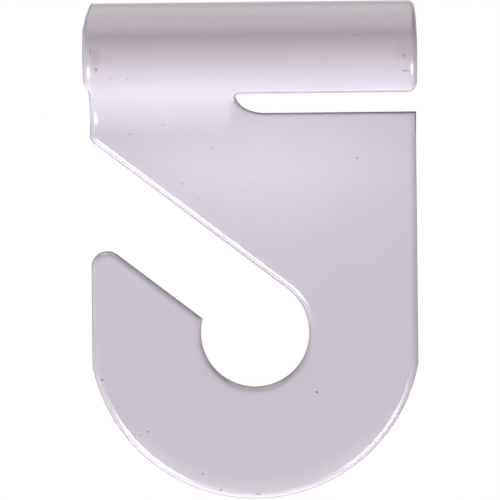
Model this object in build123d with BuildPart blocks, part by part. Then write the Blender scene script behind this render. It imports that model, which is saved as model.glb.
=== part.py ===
from build123d import *
import os
from math import cos, radians, sin, sqrt

# Ceiling track hook: one blank of painted sheet steel with an open eye and a rolled lip.
# Millimetres. X runs along the lip, the front faces -Y and +Z is up.
# The origin is on the lip's bearing face, straight above the eye, mid-thickness in the plate.

# Sheet: its rims are rounded, with a flat land left between them
sheet_thickness = 1.2
edge_land = 0.3

# Plate
plate_width = 25.1

# Lip: its height above the bearing face, the lean of its straight foot and the turn of its roll
lip_height = 7.34
lip_lean = 31.5
lip_foot = 1.4
lip_wrap = 180.0
lip_corner_round = 0.7
free_corner_round = 1.2
offset_bend_radius = 4.8

# Track slot under the lip, open to the right
slot_height = 1.43
slot_length = 13.9
slot_end_run = 2.27
slot_corner_round = 0.2

# Eye, bowl and throat: the bowl's radius runs over half the plate's width, which leaves a slight corner
eye_drop = 18.3
eye_radius = 4.17
bowl_overrun = 0.25
bowl_corner_round = 2.0
throat_gap = 5.75
throat_angle = 37.5
tip_round = 1.23

# The corner above the throat's mouth is a little rounder than the rims
mouth_corner_extra = 0.15

# Left end of the lip: it stands proud of the plate, and its top corner is clipped off
end_reach = 0.4
end_low = 0.25
end_full = 0.9
end_corner_round = 0.75
clip_from = 4.95
clip_run = 0.55

# Derived sizes
half_width = plate_width / 2
half_sheet = sheet_thickness / 2
edge_round = half_sheet - edge_land / 2
mouth_corner_round = edge_round + mouth_corner_extra
end_width = half_width + end_reach
slot_end = half_width - slot_length
lean = radians(lip_lean)
slope = radians(throat_angle)
roll_turn = lip_lean + lip_wrap
foot_rise = lip_foot * cos(lean) / 2
bend_start = -foot_rise - offset_bend_radius * sin(lean)
roll_radius = (lip_height - foot_rise) / (1 + sin(lean))
back_roll_radius = roll_radius - sheet_thickness
back_bend_radius = offset_bend_radius + sheet_thickness
bowl_radius = half_width + bowl_overrun
bowl_bottom = -eye_drop - bowl_radius
side_foot = -eye_drop - sqrt(bowl_radius**2 - half_width**2)
throat_lower = throat_gap - eye_radius
throat_entry = -sqrt(eye_radius**2 - throat_lower**2)
throat_run = 2 * plate_width
margin = lip_height


def throat_point(along, across):
    """Point of the front view, along the throat from the eye's centre and across it."""
    x = along * cos(slope) + across * sin(slope)
    z = across * cos(slope) - along * sin(slope) - eye_drop
    return (x, z)


def throat_mouth(across):
    """Point of the front view where a line along the throat meets the plate's left side."""
    along = -(half_width + across * sin(slope)) / cos(slope)
    return throat_point(along, across)


# Corners of the front outline that are rounded; the rest stay sharp
outline_corners = (
    (throat_mouth(-throat_lower), tip_round),
    (throat_mouth(eye_radius), mouth_corner_round),
    ((-half_width, side_foot), bowl_corner_round),
    ((half_width, side_foot), bowl_corner_round),
    ((half_width, 0), lip_corner_round),
    ((slot_end, 0), slot_corner_round),
    ((-half_width, end_low), end_corner_round),
    ((-end_width, end_full), end_corner_round),
)

with BuildPart() as hook:
    # Side profile: plate, forward bend, straight foot and half-round roll, as a front line and a back line
    with BuildSketch(Plane.YZ.offset(-plate_width)):
        with BuildLine():
            front_rise = Line((-half_sheet, bowl_bottom - margin), (-half_sheet, bend_start))
            front_bend = JernArc(front_rise @ 1, front_rise % 1, offset_bend_radius, lip_lean)
            front_foot = Line(front_bend @ 1, front_bend @ 1 + lip_foot * (front_bend % 1))
            front_roll = JernArc(front_foot @ 1, front_foot % 1, roll_radius, -roll_turn)
            back_rise = Line((half_sheet, bowl_bottom - margin), (half_sheet, bend_start))
            back_bend = JernArc(back_rise @ 1, back_rise % 1, back_bend_radius, lip_lean)
            back_foot = Line(back_bend @ 1, back_bend @ 1 + lip_foot * (back_bend % 1))
            back_roll = JernArc(back_foot @ 1, back_foot % 1, back_roll_radius, -roll_turn)
            Line(front_rise @ 0, back_rise @ 0)
            Line(front_roll @ 1, back_roll @ 1)
        make_face()
    extrude(amount=2 * plate_width)

    # Front outline of the blank, with the eye, its throat and the track slot cut from it
    with BuildSketch(Plane.XZ.offset(plate_width)) as outline:
        with BuildLine():
            Polyline(
                (half_width, side_foot),
                (half_width, lip_height + margin),
                (-end_width, lip_height + margin),
                (-end_width, end_full),
                (-half_width, end_low),
                (-half_width, side_foot),
            )
            ThreePointArc((-half_width, side_foot), (0, bowl_bottom), (half_width, side_foot))
        make_face()
        with BuildLine():
            Polyline(
                throat_point(throat_entry, -throat_lower),
                throat_point(-throat_run, -throat_lower),
                throat_point(-throat_run, eye_radius),
                throat_point(0, eye_radius),
            )
            ThreePointArc(
                throat_point(0, eye_radius),
                throat_point(eye_radius, 0),
                throat_point(throat_entry, -throat_lower),
            )
        make_face(mode=Mode.SUBTRACT)
        with BuildLine():
            Polyline(
                (slot_end, 0),
                (half_width + margin, 0),
                (half_width + margin, -slot_height),
                (slot_end + slot_end_run, -slot_height),
            )
            EllipticalCenterArc(
                (slot_end + slot_end_run, 0), slot_end_run, slot_height, 180, arc_size=90
            )
        make_face(mode=Mode.SUBTRACT)
        for corner, radius in outline_corners:
            fillet(outline.vertices().sort_by_distance(corner)[0], radius)
    extrude(amount=-2 * plate_width, mode=Mode.INTERSECT)

    # The roll's free edge has round corners
    free_edge = hook.faces().sort_by(Axis.Y)[-1]
    fillet(free_edge.edges().sort_by(SortBy.LENGTH)[:2], free_corner_round)

    # Both rims of the sheet are round all the way about
    bends = hook.faces().filter_by(GeomType.CYLINDER).filter_by(
        lambda face: face.axis_of_rotation.is_parallel(Axis.X)
    )
    foot_plane = Plane.XZ.rotated((lip_lean, 0, 0))
    flats = hook.faces().filter_by(Plane.XZ) + hook.faces().filter_by(foot_plane)
    skin_edges = (bends + flats).edges()
    rims = [edge for edge in skin_edges if skin_edges.count(edge) == 1]
    fillet(rims, edge_round)

    # The top corner of the lip's left end is clipped after the rolling, which leaves its edges sharp
    with BuildSketch(Plane.XZ.offset(plate_width)):
        with BuildLine():
            Polyline(
                (-end_width, clip_from),
                (clip_run - end_width, lip_height),
                (clip_run - end_width, lip_height + margin),
                (-end_width - margin, lip_height + margin),
                (-end_width - margin, clip_from),
                close=True,
            )
        make_face()
    extrude(amount=-2 * plate_width, mode=Mode.SUBTRACT)

hook.part.label = "hook"
os.makedirs("parts", exist_ok=True)
export_step(hook.part, "parts/hook.step")
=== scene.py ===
from math import atan, cos, pi, radians, sin, tan

import bpy
from mathutils import Matrix, Vector

# Ceiling track hook in gloss white enamel, seen squarely from the front on a white ground.
# Metres, but the paint's places and the lamps' masks are in millimetres.
# X runs along the lip, the front faces -Y and +Z is up.
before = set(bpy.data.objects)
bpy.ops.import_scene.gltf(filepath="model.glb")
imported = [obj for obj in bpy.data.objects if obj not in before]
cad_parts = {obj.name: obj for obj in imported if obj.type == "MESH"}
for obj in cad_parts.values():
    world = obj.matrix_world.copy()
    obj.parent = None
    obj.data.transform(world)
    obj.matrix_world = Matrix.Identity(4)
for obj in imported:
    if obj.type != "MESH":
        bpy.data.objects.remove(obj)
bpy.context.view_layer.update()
MM = 0.001
TO_MM = 1000
WHITE = (1, 1, 1, 1)

# Sockets of the mix node that go by number, because its kinds share their names
VECTOR_FIRST = 4
VECTOR_SECOND = 5
VECTOR_RESULT = 1
COLOUR_FIRST = 6
COLOUR_SECOND = 7
COLOUR_RESULT = 2

# View of the photograph: the middle of its frame on the plate, its scale and its slight roll
PHOTO_SIZE = 500
FRAME_MIDDLE = Vector((-0.333, -0.6, -11.96)) * MM
FRAME_WIDTH = 38.4 * MM
CAMERA_DISTANCE = 180 * MM
CAMERA_ROLL = -0.0105
SENSOR_WIDTH = 36
CLIP_START = 1 * MM

# Room: its dim front, its lighter back, and the pale floor far below the hook
ROOM_BACK = (-0.1, 0.3)
ROOM_LIGHT = 0.03
BACK_LIGHT = 0.25
FLOOR_HEIGHT = -320 * MM
FLOOR_RADIUS = 200 * MM
FLOOR_SIDES = 96
FLOOR_COLOUR = (0.9, 0.9, 0.9, 1)
FLOOR_GLOW = 0.78

# Lamps: they stand this far from the hook's middle, or from the middle of the region they brighten
HOOK_MIDDLE = Vector((0, 0, -12)) * MM
LAMP_DISTANCE = 600 * MM
KEY_COLOUR = (1, 0.97, 0.97)
TOP_COLOUR = (1, 0.93, 0.93)
TOP_GLEAM_COLOUR = (1, 0.93, 0.98)
WASH_COLOUR = (0.95, 1, 1.05)
WASH_POLAR = 20
WASH_AZIMUTH = 90
WASH_BLUR = 4 * MM
WASH_SPREAD = 1.2

# Facets of the solid: vertices this close are joined, and edges sharper than this stay sharp
WELD_DISTANCE = 0.0005 * MM
SHARP_ANGLE = radians(35)
FLAT_FACE_WEIGHT = 100

# Places that the paint follows
PLATE_SIDE = 12.55
LIP_LEFT = -12.95
SLOT_END = -1.35
EYE_HEIGHT = -18.3

# Enamel: its faint cloudiness, a painted shade on the upper roll (a darker, warmer tint), and its orange
# peel
ENAMEL = (0.735, 0.695, 0.795)
ENAMEL_CLOUD = (0.722, 0.682, 0.777)
ENAMEL_ROLL_SHADE = (0.735, 0.672, 0.750)
CLOUD_SCALE = 0.22
CLOUD_RANGE = (0.35, 0.75)
ROLL_RISE = (1.5, 3.5)
PEEL_SCALE = 0.9
PEEL_RANGE = (0.3, 0.7)
PEEL_DEPTH = 0.006 * MM
PAINT_DETAIL = 3.0
ROUGHNESS = (0.10, 0.16)
FLECK_ROUGHNESS = 0.3

# Shading: rims look rounder by this radius, and the plate under the slot looks flatter than it is
RIM_BEVEL = 0.65 * MM
BEVEL_SAMPLES = 16
FLAT_RIGHT_OF = (SLOT_END - 0.85, SLOT_END + 0.15)
FLAT_ABOVE = (-3.4, -2.6)
FLAT_BELOW = (-0.5, -0.2)
FLATNESS = 0.9
FORWARD = (0, -1, 0)

# Painted shade on the rims and towards the right side, in a grey paint colour: limits of the surface's
# turn and of its place, with shares of the full strength
RIM_PAINTED_SHADE = (0.24, 0.24, 0.24)
RIM_TURN = (0.50, 0.66)
LAND_TURN = (0.08, 0.30)
END_TURN = (0.90, 0.99)
LAND_SHARE = 0.3
RIM_TOP = (0.2, 0.4)
SLOT_FLOOR = (-2.4, -1.9)
SLOT_ROOF = (-0.6, -0.3)
SLOT_FLOOR_SHARE = 0.15
SLOT_ROOF_SHARE = 0.8
RIGHT_RIM = (PLATE_SIDE - 0.16, PLATE_SIDE - 0.02)
LEFT_RIM = (LIP_LEFT + 0.02, LIP_LEFT + 0.14)
RIM_STRENGTH = 0.75
RIGHT_SHADE = (PLATE_SIDE - 0.75, PLATE_SIDE)
RIGHT_SHADE_STRENGTH = 0.22

# Painted light along the bowl's foot, in a paler paint colour: limits of the distance from the eye's
# centre and of height
FOOT_PAINTED_LIGHT = (0.820, 0.785, 0.865)
FOOT_REACH = (10.8, 12.5)
FOOT_RISE = (-28, -24)

# Dust flecks: one in a cell, larger and stronger by chance
FLECK = (0.33, 0.29, 0.30)
FLECK_SCALE = 2.0
FLECK_SIZED = (0.3, 1)
FLECK_RADIUS = (0.05, 0.15)
FLECK_SHOWN = (0.35, 1)
FLECK_STRENGTH = 0.40
FLECK_EDGE = (0.5, 1)

# Marks in the paint: column and row in the photograph, half width and height, strength and colour
BLACK = (0.02, 0.02, 0.02)
GREY = (0.22, 0.20, 0.20)
TAN = (0.45, 0.36, 0.26)
PINK = (0.72, 0.58, 0.62)
RED = (0.45, 0.16, 0.13)
OLIVE = (0.20, 0.21, 0.15)
MARKS = {
    "left_stain": (95, 58, 0.50, 0.80, 0.30, TAN),
    "left_stain_edge": (90, 51, 0.10, 0.28, 0.35, OLIVE),
    "left_blush": (104, 62, 0.90, 0.80, 0.25, PINK),
    "left_chip": (95.5, 69.5, 0.19, 0.14, 0.65, GREY),
    "left_chip_foot": (95, 73, 0.16, 0.12, 0.4, PINK),
    "left_dot_low": (109, 78, 0.14, 0.09, 0.3, GREY),
    "left_dot_right": (127, 79, 0.10, 0.09, 0.3, GREY),
    "right_spot": (404, 55, 0.16, 0.20, 0.45, OLIVE),
    "right_scratch": (406, 70.4, 0.32, 0.08, 0.6, GREY),
    "right_blush": (410, 60, 0.40, 0.95, 0.30, PINK),
    "right_smudge": (403, 52, 0.90, 0.70, 0.12, OLIVE),
    "lip_yellow": (355, 34, 0.30, 0.09, 0.25, OLIVE),
    "bowl_dot_left": (102, 380, 0.10, 0.10, 1.0, BLACK),
    "bowl_dot_right": (317, 392, 0.09, 0.09, 0.9, BLACK),
    "bowl_fleck_left": (148, 432, 0.14, 0.09, 0.6, GREY),
    "bowl_red_left": (141, 435, 0.13, 0.08, 0.5, RED),
    "bowl_fleck_low": (203, 474, 0.12, 0.10, 0.6, GREY),
    "bowl_fleck_foot": (221, 490, 0.12, 0.08, 0.6, GREY),
    "bowl_red_foot": (258, 494, 0.35, 0.10, 0.45, RED),
    "plate_fleck_left": (130, 134, 0.10, 0.09, 0.5, GREY),
    "plate_fleck_upper": (163, 125, 0.10, 0.08, 0.5, GREY),
    "plate_fleck_middle": (212, 148, 0.10, 0.10, 0.5, GREY),
    "plate_fleck_right": (357, 158, 0.10, 0.10, 0.55, GREY),
    "plate_fleck_edge": (183, 184, 0.10, 0.09, 0.5, GREY),
    "plate_fleck_low": (198, 198, 0.09, 0.09, 0.5, GREY),
}

# Edges of the marks, how fast they end behind the sheet's middle, and the lip, which is nearer the camera
MARK_EDGE = (0.3, 1.25)
MARK_RAGGED = 0.10
MARK_NOISE_SCALE = 6.0
MARK_NOISE_DETAIL = 2.0
NOISE_MIDDLE = (0.5, 0.5, 0.5)
BEHIND = 20
SLOT_ROW = 100
LIP_PROUD = 2.2 * MM


class Nodes:
    """Adds nodes to one shader tree and links their sockets."""

    def __init__(self, tree):
        tree.nodes.clear()
        self.tree = tree

    def add(self, kind, inputs=None, **settings):
        """A node with its settings, and its inputs set to values or linked to sockets."""
        node = self.tree.nodes.new("ShaderNode" + kind)
        for key, value in settings.items():
            setattr(node, key, value)
        for key, value in (inputs or {}).items():
            if isinstance(value, bpy.types.NodeSocket):
                self.tree.links.new(value, node.inputs[key])
            else:
                node.inputs[key].default_value = value
        return node

    def math(self, operation, *values):
        """A number worked out from values or sockets."""
        return self.add("Math", dict(enumerate(values)), operation=operation).outputs[0]

    def product(self, first, *others):
        """All the numbers multiplied."""
        for other in others:
            first = self.math("MULTIPLY", first, other)
        return first

    def vector(self, operation, *values):
        """A vector worked out from values or sockets."""
        return self.add("VectorMath", dict(enumerate(values)), operation=operation).outputs[0]

    def length(self, vector):
        """The length of a vector."""
        return self.add("VectorMath", {0: vector}, operation="LENGTH").outputs["Value"]

    def split(self, vector):
        """The three parts of a vector."""
        return self.add("SeparateXYZ", {0: vector}).outputs

    def ramp(self, value, start, end, first=0, last=1):
        """A smooth change from the first number to the last between two limits."""
        limits = {"Value": value, "From Min": start, "From Max": end, "To Min": first, "To Max": last}
        return self.add("MapRange", limits, interpolation_type="SMOOTHSTEP").outputs[0]

    def mix(self, factor, first, second):
        """A colour mixed from two colours or sockets."""
        pair = [c if isinstance(c, bpy.types.NodeSocket) else (*c, 1) for c in (first, second)]
        inputs = {"Factor": factor, COLOUR_FIRST: pair[0], COLOUR_SECOND: pair[1]}
        return self.add("Mix", inputs, data_type="RGBA").outputs[COLOUR_RESULT]


def new_material(name):
    """An empty node material and the builder of its nodes."""
    material = bpy.data.materials.new(name)
    material.use_nodes = True
    return material, Nodes(material.node_tree)


def photo_point(column, row):
    """Point of the front that the photograph shows at this pixel; the lip is nearer the camera."""
    nearer = LIP_PROUD if row < SLOT_ROW else 0
    scale = FRAME_WIDTH / PHOTO_SIZE * (1 - nearer / CAMERA_DISTANCE)
    right = (column - PHOTO_SIZE / 2) * scale
    up = (PHOTO_SIZE / 2 - row) * scale
    across = Vector((cos(CAMERA_ROLL), 0, sin(CAMERA_ROLL)))
    upright = Vector((-sin(CAMERA_ROLL), 0, cos(CAMERA_ROLL)))
    return FRAME_MIDDLE + right * across + up * upright


def painted_rim_shade_mask(nodes, x, z):
    """How far painted shade darkens the rims, and a little towards the right side."""
    facing = nodes.split(nodes.add("NewGeometry").outputs["Normal"])
    ahead = nodes.math("ABSOLUTE", facing["Y"])
    aside = nodes.math("ABSOLUTE", facing["X"])
    slot_floor = nodes.ramp(z, *SLOT_FLOOR, 1, SLOT_FLOOR_SHARE)
    slot_roof = nodes.ramp(z, *SLOT_ROOF, 0, SLOT_ROOF_SHARE)
    rims = nodes.product(
        nodes.ramp(ahead, *RIM_TURN, 1, 0),
        nodes.ramp(ahead, *LAND_TURN, LAND_SHARE, 1),
        nodes.ramp(z, *RIM_TOP, 1, 0),
        nodes.math("MAXIMUM", slot_floor, slot_roof),
    )
    sides = nodes.math("MAXIMUM", nodes.ramp(x, *LEFT_RIM, 1, 0), nodes.ramp(x, *RIGHT_RIM))
    ends = nodes.product(sides, nodes.ramp(aside, *END_TURN, 1, LAND_SHARE))
    rims = nodes.product(nodes.math("MAXIMUM", rims, ends), RIM_STRENGTH)
    shade = nodes.ramp(x, *RIGHT_SHADE, 0, RIGHT_SHADE_STRENGTH)
    return nodes.math("MAXIMUM", rims, shade)


def painted_foot_light_mask(nodes, x, z):
    """How far painted light pales the bowl's foot."""
    drop = nodes.math("SUBTRACT", z, EYE_HEIGHT)
    reach = nodes.length(nodes.add("CombineXYZ", {"X": x, "Z": drop}).outputs[0])
    return nodes.product(nodes.ramp(reach, *FOOT_REACH), nodes.ramp(z, *FOOT_RISE, 1, 0))


def fleck_mask(nodes, place):
    """Faint dust flecks in the paint, some stronger than others."""
    cells = nodes.add("TexVoronoi", {"Vector": place, "Scale": FLECK_SCALE}, voronoi_dimensions="3D")
    chance = nodes.add("SeparateColor", {"Color": cells.outputs["Color"]}).outputs[0]
    radius = nodes.ramp(chance, *FLECK_SIZED, *FLECK_RADIUS)
    spot = nodes.math("DIVIDE", cells.outputs["Distance"], radius)
    strength = nodes.ramp(chance, *FLECK_SHOWN, 0, FLECK_STRENGTH)
    return nodes.product(nodes.ramp(spot, *FLECK_EDGE, 1, 0), strength)


def add_marks(nodes, colour, x, y, z, place):
    """Chips, stains, scratches and specks on the front, with ragged outlines."""
    noise = {"Vector": place, "Scale": MARK_NOISE_SCALE, "Detail": MARK_NOISE_DETAIL}
    ragged = nodes.add("TexNoise", noise).outputs["Color"]
    shift = nodes.vector("SUBTRACT", ragged, NOISE_MIDDLE)
    shift = nodes.vector("MULTIPLY", shift, (2 * MARK_RAGGED, 0, 2 * MARK_RAGGED))
    behind = nodes.product(nodes.math("MAXIMUM", y, 0), BEHIND)
    front = nodes.add("CombineXYZ", {"X": x, "Y": behind, "Z": z}).outputs[0]
    front = nodes.vector("ADD", front, shift)
    for column, row, half_width, half_height, strength, paint in MARKS.values():
        middle = photo_point(column, row) * TO_MM
        away = nodes.vector("SUBTRACT", front, (middle.x, 0, middle.z))
        away = nodes.vector("DIVIDE", away, (half_width, 1, half_height))
        colour = nodes.mix(nodes.ramp(nodes.length(away), *MARK_EDGE, strength, 0), colour, paint)
    return colour


def rim_normal(nodes, x, y, z):
    """The surface's direction, rounder at the rims and nearly flat under the slot."""
    bevel = nodes.add("Bevel", {"Radius": RIM_BEVEL}, samples=BEVEL_SAMPLES).outputs[0]
    under_slot = nodes.product(
        nodes.ramp(x, *FLAT_RIGHT_OF),
        nodes.ramp(z, *FLAT_ABOVE),
        nodes.ramp(z, *FLAT_BELOW, FLATNESS, 0),
        nodes.math("LESS_THAN", y, 0),
    )
    inputs = {"Factor": under_slot, VECTOR_FIRST: bevel, VECTOR_SECOND: FORWARD}
    blend = nodes.add("Mix", inputs, data_type="VECTOR").outputs[VECTOR_RESULT]
    return nodes.vector("NORMALIZE", blend)


def enamel_material():
    """Gloss white enamel with a faint lavender cast, orange peel, flecks and marks, painted shade on the
    rims and upper roll, and painted light along the bowl's foot.
    """
    material, nodes = new_material("white_enamel")
    local = nodes.add("TexCoord").outputs["Object"]
    place = nodes.vector("MULTIPLY", local, (TO_MM, TO_MM, TO_MM))
    x, y, z = nodes.split(place)
    cloud = nodes.add("TexNoise", {"Vector": place, "Scale": CLOUD_SCALE, "Detail": PAINT_DETAIL})
    peel = nodes.add("TexNoise", {"Vector": place, "Scale": PEEL_SCALE, "Detail": PAINT_DETAIL})
    peel = peel.outputs["Fac"]
    flecks = fleck_mask(nodes, place)
    colour = nodes.mix(nodes.ramp(cloud.outputs["Fac"], *CLOUD_RANGE), ENAMEL, ENAMEL_CLOUD)
    # Painted shade: a darker, warmer tint on the upper roll
    colour = nodes.mix(nodes.ramp(z, *ROLL_RISE), colour, ENAMEL_ROLL_SHADE)
    colour = nodes.mix(flecks, colour, FLECK)
    # Painted light: a paler colour along the bowl's foot
    colour = nodes.mix(painted_foot_light_mask(nodes, x, z), colour, FOOT_PAINTED_LIGHT)
    # Painted shade: grey on the rims and a little towards the right side
    colour = nodes.mix(painted_rim_shade_mask(nodes, x, z), colour, RIM_PAINTED_SHADE)
    colour = add_marks(nodes, colour, x, y, z, place)
    gloss = nodes.ramp(peel, *PEEL_RANGE, *ROUGHNESS)
    roughness = nodes.math("ADD", gloss, nodes.product(flecks, FLECK_ROUGHNESS))
    surface = {"Distance": PEEL_DEPTH, "Height": peel, "Normal": rim_normal(nodes, x, y, z)}
    bump = nodes.add("Bump", surface).outputs[0]
    shader = nodes.add("BsdfPrincipled", {"Base Color": colour, "Roughness": roughness, "Normal": bump})
    nodes.add("OutputMaterial", {"Surface": shader.outputs[0]})
    return material


def smooth_rims(piece):
    """Joins the facets of the rims and lets the flat faces set the shading beside them."""
    weld = piece.modifiers.new("weld", "WELD")
    weld.merge_threshold = WELD_DISTANCE
    split = piece.modifiers.new("split", "EDGE_SPLIT")
    split.split_angle = SHARP_ANGLE
    split.use_edge_sharp = False
    normals = piece.modifiers.new("normals", "WEIGHTED_NORMAL")
    normals.mode = "FACE_AREA"
    normals.weight = FLAT_FACE_WEIGHT


def direction(polar, azimuth):
    """Unit vector this far from the camera's axis, turned this far from the right towards the top."""
    away = sin(radians(polar))
    return Vector((away * cos(radians(azimuth)), -cos(radians(polar)), away * sin(radians(azimuth))))


def place_lamp(name, lamp, polar, azimuth, target=HOOK_MIDDLE):
    """Puts a lamp on a sphere round a point, facing it, with its length towards the camera's axis."""
    obj = bpy.data.objects.new(name, lamp)
    back = direction(polar, azimuth)
    side = back.cross(Vector((0, -1, 0))).normalized()
    turn = Matrix((side, back.cross(side), back)).transposed()
    obj.matrix_world = Matrix.LocRotScale(target + back * LAMP_DISTANCE, turn, None)
    obj.visible_camera = False
    bpy.context.collection.objects.link(obj)
    return obj


def add_softbox(
    name, polar, azimuth, width, length, radiance, colour=KEY_COLOUR, fill=True, shine=True, fade=None
):
    """A softbox, its width and length as angles seen from the hook, that shades, shines or does both."""
    lamp = bpy.data.lights.new(name, "AREA")
    lamp.color = colour
    lamp.shape = "RECTANGLE"
    lamp.size = 2 * LAMP_DISTANCE * tan(radians(width / 2))
    lamp.size_y = 2 * LAMP_DISTANCE * tan(radians(length / 2))
    lamp.energy = radiance * pi * lamp.size * lamp.size_y
    if fade:
        lamp.use_nodes = True
        nodes = Nodes(lamp.node_tree)
        down = nodes.split(nodes.add("NewGeometry").outputs["Parametric"])["Y"]
        strength = nodes.product(nodes.ramp(down, 0, fade), nodes.ramp(down, fade, 1, 1, 0))
        glow = nodes.add("Emission", {"Strength": strength})
        nodes.add("OutputLight", {"Surface": glow.outputs[0]})
    obj = place_lamp(name, lamp, polar, azimuth)
    obj.visible_diffuse = fill
    obj.visible_glossy = shine


def add_wash(name, target, half_width, rise, drop, irradiance):
    """A spot with a soft oval mask that brightens a region, without a highlight."""
    lamp = bpy.data.lights.new(name, "SPOT")
    lamp.color = WASH_COLOUR
    lamp.energy = irradiance * 4 * pi * LAMP_DISTANCE**2
    lamp.spot_size = 2 * atan(WASH_SPREAD * max(half_width, rise, drop) * MM / LAMP_DISTANCE)
    lamp.shadow_soft_size = WASH_BLUR
    lamp.use_nodes = True
    nodes = Nodes(lamp.node_tree)
    x, y, z = nodes.split(nodes.add("TexCoord").outputs["Normal"])
    reach = LAMP_DISTANCE * TO_MM
    across = nodes.math("DIVIDE", nodes.math("DIVIDE", x, z), half_width / reach)
    below = nodes.math("DIVIDE", nodes.math("DIVIDE", y, z), drop / reach)
    above = nodes.math("DIVIDE", nodes.math("DIVIDE", y, z), -rise / reach)
    oval = nodes.add("CombineXYZ", {"X": across, "Y": nodes.math("MAXIMUM", below, above)}).outputs[0]
    glow = nodes.add("Emission", {"Strength": nodes.ramp(nodes.length(oval), 0, 1, 1, 0)})
    nodes.add("OutputLight", {"Surface": glow.outputs[0]})
    obj = place_lamp(name, lamp, WASH_POLAR, WASH_AZIMUTH, Vector(target) * MM)
    obj.visible_glossy = False


def add_camera():
    """Camera square to the plate, rolled as in the photograph."""
    data = bpy.data.cameras.new("camera")
    data.sensor_width = SENSOR_WIDTH
    data.lens = SENSOR_WIDTH * CAMERA_DISTANCE / FRAME_WIDTH
    data.clip_start = CLIP_START
    camera = bpy.data.objects.new("camera", data)
    camera.location = FRAME_MIDDLE - Vector((0, CAMERA_DISTANCE, 0))
    upright = Matrix.Rotation(pi / 2, 3, "X")
    camera.rotation_euler = (upright @ Matrix.Rotation(CAMERA_ROLL, 3, "Z")).to_euler()
    bpy.context.collection.objects.link(camera)
    bpy.context.scene.camera = camera


def add_world():
    """White ground for the camera and, behind the hook, for reflections; a dim room before it."""
    world = bpy.data.worlds.new("studio")
    bpy.context.scene.world = world
    world.use_nodes = True
    nodes = Nodes(world.node_tree)
    path = nodes.add("LightPath").outputs
    toward = nodes.split(nodes.add("TexCoord").outputs["Generated"])["Y"]
    behind = nodes.ramp(toward, *ROOM_BACK)
    shiny = nodes.math("MAXIMUM", path["Is Glossy Ray"], path["Is Transmission Ray"])
    shown = nodes.math("MAXIMUM", path["Is Camera Ray"], nodes.product(shiny, behind))
    room = nodes.math("ADD", nodes.product(behind, BACK_LIGHT), ROOM_LIGHT)
    dim = nodes.add("Background", {"Color": WHITE, "Strength": room}).outputs[0]
    white = nodes.add("Background", {"Color": WHITE, "Strength": 1}).outputs[0]
    ground = nodes.add("MixShader", {0: shown, 1: dim, 2: white})
    nodes.add("OutputWorld", {"Surface": ground.outputs[0]})


def add_floor():
    """Pale floor well below the hook, which hangs above it; light from below passes through."""
    bpy.ops.mesh.primitive_circle_add(
        vertices=FLOOR_SIDES, radius=FLOOR_RADIUS, fill_type="NGON", location=(0, 0, FLOOR_HEIGHT)
    )
    floor = bpy.context.object
    floor.name = "floor"
    material, nodes = new_material("floor")
    below = nodes.add("NewGeometry").outputs["Backfacing"]
    path = nodes.add("LightPath").outputs
    shiny = nodes.math("ADD", path["Is Glossy Ray"], path["Is Transmission Ray"])
    shown = nodes.product(nodes.math("ADD", path["Is Camera Ray"], shiny), FLOOR_GLOW)
    matt = nodes.add("BsdfDiffuse", {"Color": FLOOR_COLOUR}).outputs[0]
    glow = nodes.add("Emission", {"Strength": shown}).outputs[0]
    pale = nodes.add("AddShader", {0: matt, 1: glow}).outputs[0]
    clear = nodes.add("BsdfTransparent").outputs[0]
    surface = nodes.add("MixShader", {0: below, 1: pale, 2: clear})
    nodes.add("OutputMaterial", {"Surface": surface.outputs[0]})
    floor.data.materials.append(material)


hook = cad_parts["hook"]
hook.data.materials.clear()
hook.data.materials.append(enamel_material())
smooth_rims(hook)

add_camera()
add_world()
add_floor()

# Shading from the lower left and right
add_softbox("key_left", polar=42, azimuth=225, width=16, length=22, radiance=10.5, shine=False)
add_softbox("key_right", polar=42, azimuth=315, width=12, length=22, radiance=6.6, shine=False)
add_softbox("fill_left", polar=72, azimuth=225, width=36, length=56, radiance=3.35, shine=False)
add_softbox("fill_right", polar=72, azimuth=315, width=36, length=56, radiance=2.75, shine=False)

# Highlights on the rims
add_softbox("gleam_left", polar=34, azimuth=230, width=16, length=20, radiance=18, fill=False)
add_softbox("gleam_low", polar=90, azimuth=230, width=20, length=12, radiance=8, fill=False)
add_softbox("gleam_right", polar=36, azimuth=315, width=14, length=22, radiance=18, fill=False)

# The lip from above, and the back
add_softbox(
    "top", polar=84, azimuth=90, width=66, length=64, radiance=0.6, colour=TOP_COLOUR, shine=False
)
add_softbox(
    "gleam_top", polar=92, azimuth=90, width=60, length=100, radiance=4.6,
    colour=TOP_GLEAM_COLOUR, fill=False, fade=0.42,
)
add_softbox("back", polar=158, azimuth=90, width=44, length=44, radiance=3.0, shine=False)

# The bright band under the lip and the middle of the plate
add_wash("wash", target=(0, 0, -3.8), half_width=22, rise=2.2, drop=7.0, irradiance=1.1)
add_wash("wash_low", target=(0, 0, -11), half_width=26, rise=9, drop=9, irradiance=0.3)

bpy.context.scene.view_settings.view_transform = "Standard"
